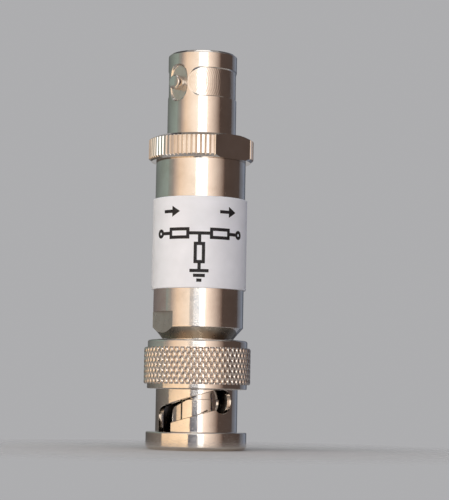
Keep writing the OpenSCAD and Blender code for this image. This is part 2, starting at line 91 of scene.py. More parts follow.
def makeCamera():
    pitch, yaw, roll = (math.radians(view[key]) for key in ("pitch", "yaw", "roll"))
    forward = Vector((math.sin(yaw) * math.cos(pitch), math.cos(yaw) * math.cos(pitch), math.sin(pitch)))
    level = Vector((math.cos(yaw), -math.sin(yaw), 0))
    above = level.cross(forward)
    right = level * math.cos(roll) + above * math.sin(roll)
    up = above * math.cos(roll) - level * math.sin(roll)
    data = bpy.data.cameras.new("photoCamera")
    data.lens = view["lens"]
    data.sensor_width = view["sensor"]
    data.clip_start = 0.01
    camera = bpy.data.objects.new("photoCamera", data)
    turn = Matrix((right, up, -forward)).transposed().to_4x4()
    camera.matrix_world = Matrix.Translation(Vector(view["place"]) * mm) @ turn
    scene.collection.objects.link(camera)
    scene.camera = camera


makeCamera()
print("camera placed")


# Mesh tools

def ringAngles(count):
    return np.array([i * 360 / count for i in range(count)])


def softProfile(points, rounding, steps=3, support=0.06, share=0.42, spare=2.4, straight=172):
    # rounds each corner of a closed outline; a third number is that corner's own radius
    outline = []
    for i, point in enumerate(points):
        corner = Vector(point[:2])
        before = Vector(points[i - 1][:2]) - corner
        after = Vector(points[(i + 1) % len(points)][:2]) - corner
        radius = point[2] if len(point) > 2 else rounding
        inside = before.angle(after)
        if radius == 0 or inside > math.radians(straight):
            outline.append(tuple(corner))
            continue
        reach = min(radius / math.tan(inside / 2), share * before.length, share * after.length)
        radius = reach * math.tan(inside / 2)
        toBefore, toAfter = before.normalized(), after.normalized()
        centre = corner + (toBefore + toAfter).normalized() * radius / math.sin(inside / 2)
        start, end = corner + toBefore * reach - centre, corner + toAfter * reach - centre
        sweep = (math.pi - inside) * (1 if start.x * end.y - start.y * end.x > 0 else -1)
        if before.length > spare * (reach + support):
            outline.append(tuple(corner + toBefore * (reach + support)))
        for k in range(steps + 1):
            a = sweep * k / steps
            outline.append((centre.x + start.x * math.cos(a) - start.y * math.sin(a),
                            centre.y + start.x * math.sin(a) + start.y * math.cos(a)))
        if after.length > spare * (reach + support):
            outline.append(tuple(corner + toAfter * (reach + support)))
    return outline


def newPiece(name, vertices, faces):
    mesh = bpy.data.meshes.new(name)
    mesh.from_pydata([tuple(v) for v in vertices], [], faces)
    shape = bmesh.new()
    shape.from_mesh(mesh)
    bmesh.ops.remove_doubles(shape, verts=shape.verts, dist=1e-5)
    bmesh.ops.delete(shape, geom=[edge for edge in shape.edges if not edge.link_faces], context="EDGES")
    bmesh.ops.recalc_face_normals(shape, faces=shape.faces)
    shape.to_mesh(mesh)
    shape.free()
    piece = bpy.data.objects.new(name, mesh)
    scene.collection.objects.link(piece)
    return piece


def revolve(name, profile, angles, radiusAt=None, splitAt=None):
    # spins a closed outline of (radius, height); radiusAt changes radii, splitAt picks a quad's diagonal
    count = len(angles)
    sines, cosines = np.sin(np.radians(angles)), np.cos(np.radians(angles))
    rows = []
    for radius, height in profile:
        radii = np.full(count, radius) if radiusAt is None else radiusAt(radius, height, angles)
        rows.append(np.column_stack((radii * sines, -radii * cosines, np.full(count, height))))
    faces = []
    for i in range(len(profile)):
        low, high = i * count, (i + 1) % len(profile) * count
        for k in range(count):
            ahead = (k + 1) % count
            a, b, c, d = low + k, low + ahead, high + ahead, high + k
            split = splitAt(i, k) if splitAt else None
            if split is None:
                faces.append((a, b, c, d))
            elif split:
                faces += [(a, b, c), (a, c, d)]
            else:
                faces += [(a, b, d), (b, c, d)]
    return newPiece(name, np.concatenate(rows), faces)


def circle(diameter, count):
    turns = [2 * math.pi * i / count for i in range(count)]
    return [(diameter / 2 * math.cos(turn), diameter / 2 * math.sin(turn)) for turn in turns]


def rectangle(width, low, high):
    return [(-width / 2, low), (width / 2, low), (width / 2, high), (-width / 2, high)]


def radialPrism(outline, angle, height, fromRadius, toRadius, outerOutline=None):
    # an outline in the tangent plane at an angle, drawn out along the radius
    turn = math.radians(angle)
    outward = Vector((math.sin(turn), -math.cos(turn), 0))
    across = Vector((math.cos(turn), math.sin(turn), 0))
    count = len(outline)
    ends = ((fromRadius, outline), (toRadius, outerOutline or outline))
    vertices = [outward * radius + across * s + Vector((0, 0, height + t))
                for radius, points in ends for s, t in points]
    sides = [(i, (i + 1) % count, count + (i + 1) % count, count + i) for i in range(count)]
    caps = [tuple(range(count)), tuple(range(2 * count - 1, count - 1, -1))]
    return newPiece("cutter", vertices, sides + caps)


def ribbon(stations, fromRadius, toRadius, shrink=0.0, grow=0.0):
    # a band round the axis, whose stations give an angle with the lowest and highest point there
    vertices = []
    for angle, low, high in stations:
        turn = math.radians(angle)
        for radius, height in ((fromRadius, low + shrink), (toRadius, low - grow), (toRadius, high + grow),
                               (fromRadius, high - shrink)):
            vertices.append((radius * math.sin(turn), -radius * math.cos(turn), height))
    faces = [(4 * i + k, 4 * i + (k + 1) % 4, 4 * i + 4 + (k + 1) % 4, 4 * i + 4 + k)
             for i in range(len(stations) - 1) for k in range(4)]
    last = 4 * (len(stations) - 1)
    return newPiece("cutter", vertices, faces + [(3, 2, 1, 0), (last, last + 1, last + 2, last + 3)])


def carve(piece, cutter, operation="DIFFERENCE", weld=1e-4):
    modifier = piece.modifiers.new("carve", "BOOLEAN")
    modifier.solver = "EXACT"
    modifier.operation = operation
    modifier.object = cutter
    bpy.context.view_layer.update()
    result = bpy.data.meshes.new_from_object(piece.evaluated_get(bpy.context.evaluated_depsgraph_get()))
    piece.modifiers.remove(modifier)
    shape = bmesh.new()
    shape.from_mesh(result)
    bmesh.ops.remove_doubles(shape, verts=shape.verts, dist=weld)
    bmesh.ops.dissolve_degenerate(shape, edges=shape.edges, dist=weld)
    shape.to_mesh(result)
    shape.free()
    old, piece.data = piece.data, result
    bpy.data.meshes.remove(old)
    bpy.data.objects.remove(cutter)


def fused(cutters):
    for other in cutters[1:]:
        carve(cutters[0], other, "UNION")
    return cutters[0]


def finishPiece(piece, body, finishes, nodes, pick=None, sharp=32):
    # scales, shades and paints a piece, and gives it its place in the frame
    piece.data.materials.clear()
    for finish in finishes:
        piece.data.materials.append(finish)
    for face in piece.data.polygons:
        face.use_smooth = True
        face.material_index = pick(face.center, face.normal) if pick else 0
    piece.data.transform(Matrix.Scale(mm, 4))
    piece.data.set_sharp_from_angle(angle=math.radians(sharp))
    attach(piece, body)
    if nodes:
        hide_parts(*nodes)
    print(piece.name, "made with", len(piece.data.polygons), "faces")


# Finishes, each from noise in the piece's own space; sizes in mm

def objectNoise(tree, size, detail=3.0, stretch=(1, 1, 1)):
    coordinates = tree.nodes.new("ShaderNodeTexCoord")
    mapping = tree.nodes.new("ShaderNodeMapping")
    mapping.inputs["Scale"].default_value = stretch
    noise = tree.nodes.new("ShaderNodeTexNoise")
    noise.inputs["Scale"].default_value = 1 / (size * mm)
    noise.inputs["Detail"].default_value = detail
    tree.links.new(coordinates.outputs["Object"], mapping.inputs["Vector"])
    tree.links.new(mapping.outputs["Vector"], noise.inputs["Vector"])
    return noise.outputs["Fac"]


def toneRamp(tree, source, tones):
    ramp = tree.nodes.new("ShaderNodeValToRGB")
    while len(ramp.color_ramp.elements) < len(tones):
        ramp.color_ramp.elements.new(0.5)
    for element, (position, tone) in zip(ramp.color_ramp.elements, tones):
        element.position = position
        element.color = (*tone, 1)
    tree.links.new(source, ramp.inputs["Fac"])
    return ramp.outputs["Color"]


def ranged(tree, source, low, high, taken=(0.3, 0.7)):
    spread = tree.nodes.new("ShaderNodeMapRange")
    spread.inputs["From Min"].default_value, spread.inputs["From Max"].default_value = taken
    spread.inputs["To Min"].default_value = low
    spread.inputs["To Max"].default_value = high
    tree.links.new(source, spread.inputs["Value"])
    return spread.outputs["Result"]


def paintHollowShade(tree, recipe, colour):
    # tints what lies nearer the axis with a darker tone: painted shade in the knurl's grooves
    deepest, highest, tone = recipe
    coordinates = tree.nodes.new("ShaderNodeTexCoord")
    mapping = tree.nodes.new("ShaderNodeMapping")
    mapping.inputs["Scale"].default_value = (1, 1, 0)
    distance = tree.nodes.new("ShaderNodeVectorMath")
    distance.operation = "LENGTH"
    mix = tree.nodes.new("ShaderNodeMix")
    mix.data_type = "RGBA"
    mix.inputs["A"].default_value = (*tone, 1)
    tree.links.new(coordinates.outputs["Object"], mapping.inputs["Vector"])
    tree.links.new(mapping.outputs["Vector"], distance.inputs[0])
    raised = ranged(tree, distance.outputs["Value"], 0, 1, (deepest * mm, highest * mm))
    tree.links.new(raised, mix.inputs["Factor"])
    tree.links.new(colour, mix.inputs["B"])
    return mix.outputs["Result"]


def addBump(tree, source, depth, under=None):
    bump = tree.nodes.new("ShaderNodeBump")
    bump.inputs["Strength"].default_value = 1.0
    bump.inputs["Distance"].default_value = depth * mm
    tree.links.new(source, bump.inputs["Height"])
    if under:
        tree.links.new(under, bump.inputs["Normal"])
    return bump.outputs["Normal"]


def cutterArcs(tree, pitch, centre):
    # rings round a point at the height of the lugs, as an end mill leaves them
    coordinates = tree.nodes.new("ShaderNodeTexCoord")
    mapping = tree.nodes.new("ShaderNodeMapping")
    mapping.inputs["Location"].default_value = (-centre[0] * mm, -centre[1] * mm, -lugHeight * mm)
    arcs = tree.nodes.new("ShaderNodeTexWave")
    arcs.wave_type = "RINGS"
    arcs.rings_direction = "SPHERICAL"
    arcs.inputs["Scale"].default_value = math.pi / 10 / (pitch * mm)
    arcs.inputs["Distortion"].default_value = 1.5
    arcs.inputs["Detail Scale"].default_value = 0.4
    tree.links.new(coordinates.outputs["Object"], mapping.inputs["Vector"])
    tree.links.new(mapping.outputs["Vector"], arcs.inputs["Vector"])
    return arcs.outputs["Fac"]


def makeFinish(name, recipe):
    material = bpy.data.materials.new(name)
    material.use_nodes = True
    tree = material.node_tree
    shader = tree.nodes["Principled BSDF"]
    shader.inputs["Metallic"].default_value = recipe.get("metallic", 0.0)
    for socket, value in recipe.get("sockets", {}).items():
        shader.inputs[socket].default_value = value
    patches = objectNoise(tree, recipe["patch"], 4.0)
    colour = toneRamp(tree, patches, recipe["tones"])
    # painted shade in the hollows, where a finish asks for it
    if "paintedHollowShade" in recipe:
        colour = paintHollowShade(tree, recipe["paintedHollowShade"], colour)
    tree.links.new(colour, shader.inputs["Base Color"])
    wear = objectNoise(tree, recipe["patch"] * 0.4, 5.0)
    tree.links.new(ranged(tree, wear, *recipe["rough"]), shader.inputs["Roughness"])
    normal = None
    for size, depth, stretch in recipe["grain"]:
        normal = addBump(tree, objectNoise(tree, size, 2.0, stretch), depth, normal)
    if "specks" in recipe:
        size, depth = recipe["specks"]
        normal = addBump(tree, ranged(tree, objectNoise(tree, size, 1.0), 0, 1, (0.70, 0.80)), depth, normal)
    if "arcs" in recipe:
        pitch, depth, centre = recipe["arcs"]
        normal = addBump(tree, cutterArcs(tree, pitch, centre), depth, normal)
    tree.links.new(normal, shader.inputs["Normal"])
    return material


even = (1, 1, 1)
turnedLines = (0.02, 0.02, 1)                  # noise drawn out round the axis, as lathe marks are
nickelTones = [(0.3, (0.64, 0.575, 0.51)), (0.5, (0.70, 0.638, 0.575)), (0.72, (0.74, 0.685, 0.625))]
finishes = {
    "polishedNickel": {"metallic": 1.0, "patch": 2.6, "rough": (0.07, 0.13), "tones": nickelTones,
                       "grain": [(0.22, 0.0030, even), (0.05, 0.0005, turnedLines)], "specks": (0.16, 0.006)},
    "milledNickel": {"metallic": 1.0, "patch": 1.2, "rough": (0.26, 0.40), "tones": nickelTones,
                     "grain": [(0.10, 0.006, even), (0.30, 0.004, even)], "specks": (0.16, 0.05)},
    "arcMilledNickel": {"metallic": 1.0, "patch": 1.8, "rough": (0.10, 0.18), "tones": nickelTones,
                        "grain": [(0.22, 0.0030, even)], "arcs": (0.26, 0.0038, (-2.6, -3.6))},
    # the knurl's grooves get painted shade, darker and browner nearer the axis
    "knurledNickel": {"metallic": 1.0, "patch": 2.0, "rough": (0.10, 0.16), "tones": nickelTones,
                      "grain": [(0.6, 0.002, even)], "paintedHollowShade": (7.18, 7.25, (0.55, 0.45, 0.39))},
    # painted shade: darker nickel for the nut's top face, in the crevice under the housing
    "topFacePaintedShade": {"metallic": 1.0, "patch": 1.6, "rough": (0.24, 0.36),
                   "tones": [(0.3, (0.36, 0.32, 0.27)), (0.7, (0.44, 0.40, 0.34))],
                   "grain": [(0.2, 0.003, even)]},
    # painted shade: nickel darkened to stand for the shade inside the nut's bore
    "boreNickelPaintedShade": {"metallic": 1.0, "patch": 1.8, "rough": (0.22, 0.36),
                   "tones": [(0.3, (0.16, 0.14, 0.12)), (0.7, (0.24, 0.21, 0.18))],
                   "grain": [(0.06, 0.0020, turnedLines), (0.2, 0.003, even)]},
    "labelFilm": {"patch": 3.0, "rough": (0.34, 0.46),
                  "tones": [(0.3, (0.74, 0.79, 0.88)), (0.7, (0.82, 0.87, 0.97))],
                  "grain": [(0.9, 0.010, even), (0.12, 0.0012, even)]},
    "labelInk": {"patch": 0.5, "rough": (0.38, 0.55), "sockets": {"Specular IOR Level": 0.2},
                 "tones": [(0.3, (0.010, 0.010, 0.012)), (0.7, (0.030, 0.029, 0.032))],
                 "grain": [(0.1, 0.002, even)]},
    "goldPlate": {"metallic": 1.0, "patch": 1.0, "rough": (0.14, 0.24),
                  "tones": [(0.3, (0.83, 0.56, 0.22)), (0.7, (0.93, 0.69, 0.32))],
                  "grain": [(0.12, 0.0015, even), (0.05, 0.0006, turnedLines)]},
    "whitePtfe": {"patch": 1.5, "rough": (0.32, 0.46),
                  "sockets": {"Subsurface Weight": 0.25, "Subsurface Scale": 0.0006},
                  "tones": [(0.3, (0.82, 0.82, 0.79)), (0.7, (0.90, 0.90, 0.88))],
                  "grain": [(0.05, 0.0012, turnedLines), (0.3, 0.002, even)]},
    "bareBrass": {"metallic": 1.0, "patch": 1.5, "rough": (0.20, 0.34),
                  "tones": [(0.3, (0.62, 0.42, 0.16)), (0.7, (0.76, 0.57, 0.26))],
                  "grain": [(0.06, 0.0015, turnedLines), (0.2, 0.002, even)]},
    "springSteel": {"metallic": 1.0, "patch": 1.2, "rough": (0.22, 0.36),
                    "tones": [(0.3, (0.44, 0.43, 0.42)), (0.7, (0.56, 0.55, 0.55))],
                    "grain": [(0.06, 0.0015, turnedLines), (0.2, 0.002, even)]},
    "tinnedSteel": {"metallic": 1.0, "patch": 0.8, "rough": (0.26, 0.40),
                    "tones": [(0.3, (0.62, 0.62, 0.62)), (0.7, (0.74, 0.74, 0.73))],
                    "grain": [(0.15, 0.003, even)]},
    "redSilicone": {"patch": 0.8, "rough": (0.48, 0.62),
                    "tones": [(0.3, (0.42, 0.075, 0.045)), (0.7, (0.52, 0.105, 0.065))],
                    "grain": [(0.15, 0.003, even)]},
    "resistorCeramic": {"patch": 0.6, "rough": (0.55, 0.70),
                        "tones": [(0.3, (0.74, 0.71, 0.65)), (0.7, (0.84, 0.82, 0.77))],
                        "grain": [(0.1, 0.004, even)]},
}
paint = {name: makeFinish(name, recipe) for name, recipe in finishes.items()}
print("finishes made:", len(paint))

# Jack: toothed ring with two flats, and a barrel with a milled band, oval pockets and lugs
jack = {
    "spigotD": 10.36, "seatD": 8.2, "baseD": 7.0, "seatDepth": 4.7,
    "ringD": 14.6, "ringH": 3.35, "ringChamfer": 0.4, "bevelW": 0.7, "bevelDrop": 0.4,
    "teeth": 72, "toothDepth": 0.22, "grooveShare": 0.5, "flatSpan": 13.0, "flatAngle": 42.0,
    "barrelD": 9.6, "barrelBore": 8.1, "socketDepth": 8.4, "mouthChamfer": 0.3, "edge": 0.15,
    "bandW": 4.05, "bandDepth": 0.2, "bandGap": 20.8, "bandSlope": 0.12,
    "bandStart": 0.14, "bandRunIn": 5.0,
    "pocketW": 3.4, "pocketH": 5.18, "pocketDepth": 0.4, "pocketSlope": 0.12, "pocketPower": 2.4,
    "lugAngle": -46.3, "lugD": 2.0, "lugSpan": 11.0, "lugEdge": 0.2,
}
ringTop = housingTop + jack["ringH"]


def toothedRadius(radius, angles):
    pitch = 360 / jack["teeth"]
    across = np.abs((angles - jack["flatAngle"] + pitch / 2) % pitch - pitch / 2) / (pitch / 2)
    sink = np.clip((across - 1 + jack["grooveShare"]) / jack["grooveShare"], 0, 1)
    groove = jack["ringD"] / 2 - jack["toothDepth"] * sink
    facing = np.abs((angles - jack["flatAngle"] + 90) % 180 - 90)
    flat = jack["flatSpan"] / 2 / np.cos(np.radians(np.minimum(facing, 60)))
    return np.minimum(np.minimum(radius, groove), flat)


def pocketOval(fromLug, up):
    # 1 on the pocket's rim, and less inside it
    power = jack["pocketPower"]
    across = np.abs(jack["barrelD"] * np.sin(np.radians(fromLug)) / jack["pocketW"])
    return (across ** power + np.abs(2 * up / jack["pocketH"]) ** power) ** (1 / power)


def milledRadius(height, angles):
    # the band starts shallow, with a round end, beside each lug; the lug stands in an oval pocket
    barrelR, half, up = jack["barrelD"] / 2, jack["bandW"] / 2, height - lugHeight
    fromLug = (angles - jack["lugAngle"] + 90) % 180 - 90
    along = np.radians(np.abs(fromLug) - jack["bandGap"]) * barrelR - half
    inside = half - np.hypot(np.minimum(along, 0), up)
    sunk = np.clip(jack["bandStart"] + (along + half) / jack["bandRunIn"], jack["bandStart"], 1)
    band = barrelR - jack["bandDepth"] * sunk * np.clip(inside / jack["bandSlope"], 0, 1)
    toRim = (1 - pocketOval(fromLug, up)) * jack["pocketW"] / 2
    floor = (barrelR - jack["pocketDepth"]) / np.cos(np.radians(fromLug))
    pocket = barrelR - np.maximum(barrelR - floor, 0) * np.clip(toRim / jack["pocketSlope"], 0, 1)
    return np.minimum(band, pocket)


def jackRadius(radius, height, angles):
    barrelR = jack["barrelD"] / 2
    if radius > jack["spigotD"] / 2 + tiny and housingTop - tiny <= height <= ringTop + tiny:
        return toothedRadius(radius, angles)
    if abs(radius - barrelR) < tiny and abs(height - lugHeight) < jack["pocketH"] / 2:
        return milledRadius(height, angles)
    return np.full(len(angles), radius)


def makeJackShell():
    ringR, barrelR, boreR = jack["ringD"] / 2, jack["barrelD"] / 2, jack["barrelBore"] / 2
    socketFoot, seatTop = mouthTop - jack["socketDepth"], spigotFoot + jack["seatDepth"]
    chamfer, edge, lip = jack["ringChamfer"], jack["edge"], jack["mouthChamfer"]
    wide, drop = jack["bevelW"], jack["bevelDrop"]
    chamferRows = [(ringR - chamfer + chamfer * k / 4, housingTop + chamfer * k / 4, 0) for k in range(1, 4)]
    bevelRows = [(ringR - wide * k / 5, ringTop - drop + drop * k / 5, 0) for k in range(1, 5)]
    nearEdge = np.array((-0.03, 0.0, 0.03, 0.06, 0.09, 0.12, 0.16))
    marks = [np.arange(-2.5, 2.51, 0.125)]
    marks += [side * (rim - nearEdge) for side in (-1, 1) for rim in (jack["bandW"] / 2, jack["pocketH"] / 2)]
    barrelRows = [(barrelR, lugHeight + mark, 0) for mark in sorted(set(np.round(np.concatenate(marks), 2)))]
    spigotR, seatR, baseR = jack["spigotD"] / 2, jack["seatD"] / 2, jack["baseD"] / 2
    profile = softProfile([
        (seatR, spigotFoot), (spigotR, spigotFoot, 0.15), (spigotR, housingTop),
        (ringR - chamfer, housingTop, 0.04), *chamferRows, (ringR, housingTop + chamfer, 0.05),
        (ringR, ringTop - drop, 0.06), *bevelRows, (ringR - wide, ringTop, 0.08), (barrelR, ringTop, 0.06),
        *barrelRows, (barrelR, mouthTop - lip, 0.15), (barrelR - lip, mouthTop, 0.12),
        (boreR, mouthTop, edge), (boreR, socketFoot), (baseR, socketFoot), (baseR, seatTop), (seatR, seatTop),
    ], 0.03)
    toothMarks = (-0.5, -0.38, -0.25, -0.12, 0.0, 0.12, 0.25, 0.38)
    pitch = 360 / jack["teeth"]
    angles = np.array([jack["flatAngle"] + (i + mark) * pitch
                       for i in range(jack["teeth"]) for mark in toothMarks])
    shell = revolve("jackShell", profile, angles, jackRadius)
    carve(shell, makeLugs((boreR + barrelR) / 2), "UNION")

    def pick(centre, normal):
        across, up = math.hypot(centre.x, centre.y), centre.z - lugHeight
        if not (boreR + 0.1 < across < barrelR - 3 * tiny and abs(up) < jack["pocketH"] / 2):
            return 0
        angle = math.degrees(math.atan2(centre.x, -centre.y))
        inPocket = pocketOval((angle - jack["lugAngle"] + 90) % 180 - 90, up) < 0.93
        return 1 if inPocket else 2

    names = ("polishedNickel", "milledNickel", "arcMilledNickel")
    finishPiece(shell, "attenuator", [paint[name] for name in names], ["jack_shell"], pick)


def makeLugs(rootR):
    tip, half, edge = jack["lugSpan"] / 2, jack["lugD"] / 2, jack["lugEdge"]
    rings = [(half, rootR), (half, tip - edge)]
    rings += [(half - edge * (1 - math.cos(a)), tip - edge * (1 - math.sin(a)))
              for a in np.radians((30, 60, 90))]
    count, vertices, faces = 48, [], []
    for side in (0, 180):
        turn, start = math.radians(jack["lugAngle"] + side), len(vertices)
        outward = Vector((math.sin(turn), -math.cos(turn), 0))
        across = Vector((math.cos(turn), math.sin(turn), 0))
        for radius, reach in rings:
            vertices += [outward * reach + across * s + Vector((0, 0, lugHeight + t))
                         for s, t in circle(2 * radius, count)]
        for i in range(len(rings) - 1):
            low, high = start + i * count, start + (i + 1) * count
            faces += [(low + k, low + (k + 1) % count, high + (k + 1) % count, high + k)
                      for k in range(count)]
        faces += [tuple(range(start, start + count)), tuple(range(len(vertices) - count, len(vertices)))]
    return newPiece("lugs", vertices, faces)


makeJackShell()

# Jack inside: insulator with its nose, and the slit contact
jackInside = {"shankBore": 2.14, "flangeD": 8.16, "bodyD": 6.96, "noseD": 4.7, "flangeH": 1.48,
              "cupD": 3.28, "cupBore": 2.08, "cupDepth": 1.4, "shankD": 2.1, "boreD": 1.38, "boreDepth": 6.4,
              "slitW": 0.3, "slitLen": 4.5}


def makeJackInside():
    part = jackInside
    socketFoot, flangeTop = mouthTop - jack["socketDepth"], seatFoot + part["flangeH"]
    cupTop = contactFoot + part["cupDepth"]
    insulator = revolve("jackInsulator", softProfile([
        (part["shankBore"] / 2, seatFoot), (part["flangeD"] / 2, seatFoot), (part["flangeD"] / 2, flangeTop),
        (part["bodyD"] / 2, flangeTop), (part["bodyD"] / 2, socketFoot, 0.05),
        (part["noseD"] / 2, socketFoot, 0.05), (part["noseD"] / 2, noseTop, 0.18),
        (part["shankBore"] / 2, noseTop, 0.06),
    ], 0.03), ringAngles(128))
    finishPiece(insulator, "attenuator", [paint["whitePtfe"]], ["jack_insulator"])
    contact = revolve("jackContact", softProfile([
        (part["cupBore"] / 2, contactFoot), (part["cupD"] / 2, contactFoot), (part["cupD"] / 2, seatFoot),
        (part["shankD"] / 2, seatFoot), (part["shankD"] / 2, contactTop, 0.1),
        (part["boreD"] / 2, contactTop, 0.12), (part["boreD"] / 2, contactTop - part["boreDepth"]),
        (0, contactTop - part["boreDepth"], 0), (0, cupTop, 0), (part["cupBore"] / 2, cupTop),
    ], 0.02), ringAngles(96))
    for turn in (0, 90):
        slit = rectangle(part["slitW"], -part["slitLen"], 1)
        carve(contact, radialPrism(slit, turn, contactTop, -part["shankD"], part["shankD"]))
    finishPiece(contact, "attenuator", [paint["goldPlate"]], ["jack_contact"])


makeJackInside()

# Housing: turned tube with a tapered end and two spanner flats, and its film label
housing = {"bodyD": 2 * outerRadius("housing"), "boreD": 10.4, "neckHoleD": 8.54, "footD": 9.8,
           "taperH": 1.55, "floorH": 5.25, "flatSpan": 11.1, "flatH": 3.65, "flatAngle": -61.0,
           "labelGap": 0.02, "labelEdge": 0.14}


def makeHousing():
    bodyR, boreR, holeR, flatR = (housing[key] / 2 for key in ("bodyD", "boreD", "neckHoleD", "flatSpan"))
    taperTop, floor = housingFoot + housing["taperH"], housingFoot + housing["floorH"]
    tube = revolve("housingTube", softProfile([
        (holeR, housingFoot), (housing["footD"] / 2, housingFoot, 0.05), (bodyR, taperTop, 0.12),
        (bodyR, housingTop, 0.05), (boreR, housingTop), (boreR, floor), (holeR, floor),
    ], 0.03), ringAngles(360))
    for side in (0, 180):
        block = rectangle(3 * bodyR, -1, housing["flatH"])
        carve(tube, radialPrism(block, housing["flatAngle"] + side, housingFoot, flatR, 2 * bodyR))
    turn = math.radians(housing["flatAngle"])
    facing = Vector((math.sin(turn), -math.cos(turn), 0))

    def pick(centre, normal):
        low = centre.z < housingFoot + housing["flatH"] + tiny
        onFlat = abs(normal.dot(facing)) > 0.999 and abs(centre.dot(facing)) > flatR - 5 * tiny
        return 1 if low and onFlat else 0

    coats = [paint["polishedNickel"], paint["milledNickel"]]
    finishPiece(tube, "attenuator", coats, ["housing"], pick, sharp=20)


def makeLabel():
    outer, inner = outerRadius("label_sleeve"), housing["bodyD"] / 2 + housing["labelGap"]
    edge = housing["labelEdge"]
    film = revolve("labelFilm", softProfile([
        (inner, labelFoot), (outer, labelFoot, edge), (outer, labelTop, edge), (inner, labelTop),
    ], 0.02, 4), ringAngles(256))
    finishPiece(film, "attenuator", [paint["labelFilm"]], ["label_sleeve"])


# Print on the label: a plain T-pad diagram; places go round the film from its front and up from its foot
diagram = {
    "line": 7.4, "stroke": 0.44, "film": 0.015, "sunk": 0.01, "step": 0.25,
    "ring": (-6.1, 6.1), "ringD": 1.25,
    "boxes": [(-2.9, 7.4, 3.0, 1.55), (2.9, 7.4, 3.0, 1.55), (0.0, 4.75, 1.55, 2.9)],  # centre, width, height
    "wires": [(-5.48, -4.4, 7.4), (-1.4, 1.4, 7.4), (4.4, 5.48, 7.4)],                 # from, to, height
    "drops": [(0.0, 6.2, 7.21), (0.0, 2.5, 3.3)],                                      # across, from, to
    "ground": [(2.31, 2.6), (1.66, 1.6), (1.01, 0.7)],                                 # height, width
    "arrows": [(-4.1, 10.4), (4.1, 10.4)], "arrowLen": 2.6, "arrowHead": 0.75,
}


def inkBar(left, right, low, high):
    count = max(1, math.ceil((right - left) / diagram["step"]))
    return [((across, low), (across, high)) for across in np.linspace(left, right, count + 1)]


def inkRing(centre, height, outer, inner, count=36):
    turns = [2 * math.pi * k / count for k in range(count + 1)]
    return [((centre + inner / 2 * math.cos(a), height + inner / 2 * math.sin(a)),
             (centre + outer / 2 * math.cos(a), height + outer / 2 * math.sin(a))) for a in turns]


def inkStrips():
    stroke, head, half = diagram["stroke"], diagram["arrowHead"], diagram["stroke"] / 2
    strips = [inkRing(centre, diagram["line"], diagram["ringD"], diagram["ringD"] - 2 * stroke)
              for centre in diagram["ring"]]
    for centre, height, wide, tall in diagram["boxes"]:
        left, right, low, high = centre - wide / 2, centre + wide / 2, height - tall / 2, height + tall / 2
        strips += [inkBar(left, right, low, low + stroke), inkBar(left, right, high - stroke, high)]
        strips += [inkBar(side, side + stroke, low + stroke, high - stroke)
                   for side in (left, right - stroke)]
    strips += [inkBar(left, right, height - half, height + half) for left, right, height in diagram["wires"]]
    strips += [inkBar(across - half, across + half, low, high) for across, low, high in diagram["drops"]]
    strips += [inkBar(-wide / 2, wide / 2, height - half, height + half)
               for height, wide in diagram["ground"]]
    for centre, height in diagram["arrows"]:
        tail, tip = centre - diagram["arrowLen"] / 2, centre + diagram["arrowLen"] / 2
        strips.append(inkBar(tail, tip - 1.6 * head, height - half, height + half))
        strips.append([((tip - 1.6 * wide, height - wide), (tip - 1.6 * wide, height + wide))
                       for wide in np.linspace(head, 0, 7)])
    return strips


def makeLabelPrint():
    outer = outerRadius("label_sleeve")
    under, over = outer - diagram["sunk"], outer + diagram["film"]
    vertices, faces = [], []
    for strip in inkStrips():
        start, closed = len(vertices), np.allclose(strip[0], strip[-1])
        for low, high in strip:
            for radius, (across, height) in ((under, low), (under, high), (over, high), (over, low)):
                turn = across / outer
                vertices.append((radius * math.sin(turn), -radius * math.cos(turn), labelFoot + height))
        for i in range(len(strip) - 1):
            at = start + 4 * i
            faces += [(at + k, at + (k + 1) % 4, at + 4 + (k + 1) % 4, at + 4 + k) for k in range(4)]
        if not closed:
            last = len(vertices) - 4
            faces += [(start, start + 1, start + 2, start + 3), (last + 3, last + 2, last + 1, last)]
    ink = newPiece("labelPrint", vertices, faces)
    finishPiece(ink, "attenuator", [paint["labelInk"]], [])


makeHousing()
makeLabel()
makeLabelPrint()

# Plug: slotted spring fingers, insulator, pin and face gasket
plug = {"fingerD": 8.05, "rootD": 7.81, "fingerBore": 7.05, "bandH": 4.1,
        "fingers": 6, "slitW": 0.25, "slitLen": 5.0,
        "shoulderD": 9.6, "neckD": 8.5, "rearBore": 7.4, "seatGap": 0.02,
        "frontD": 6.65, "cavityD": 4.85, "rearD": 7.36, "shankBore": 2.14,
        "pinD": 1.35, "shankD": 2.1, "cupD": 3.28, "cupBore": 2.08, "cupDepth": 1.4, "gasketBore": 7.85}


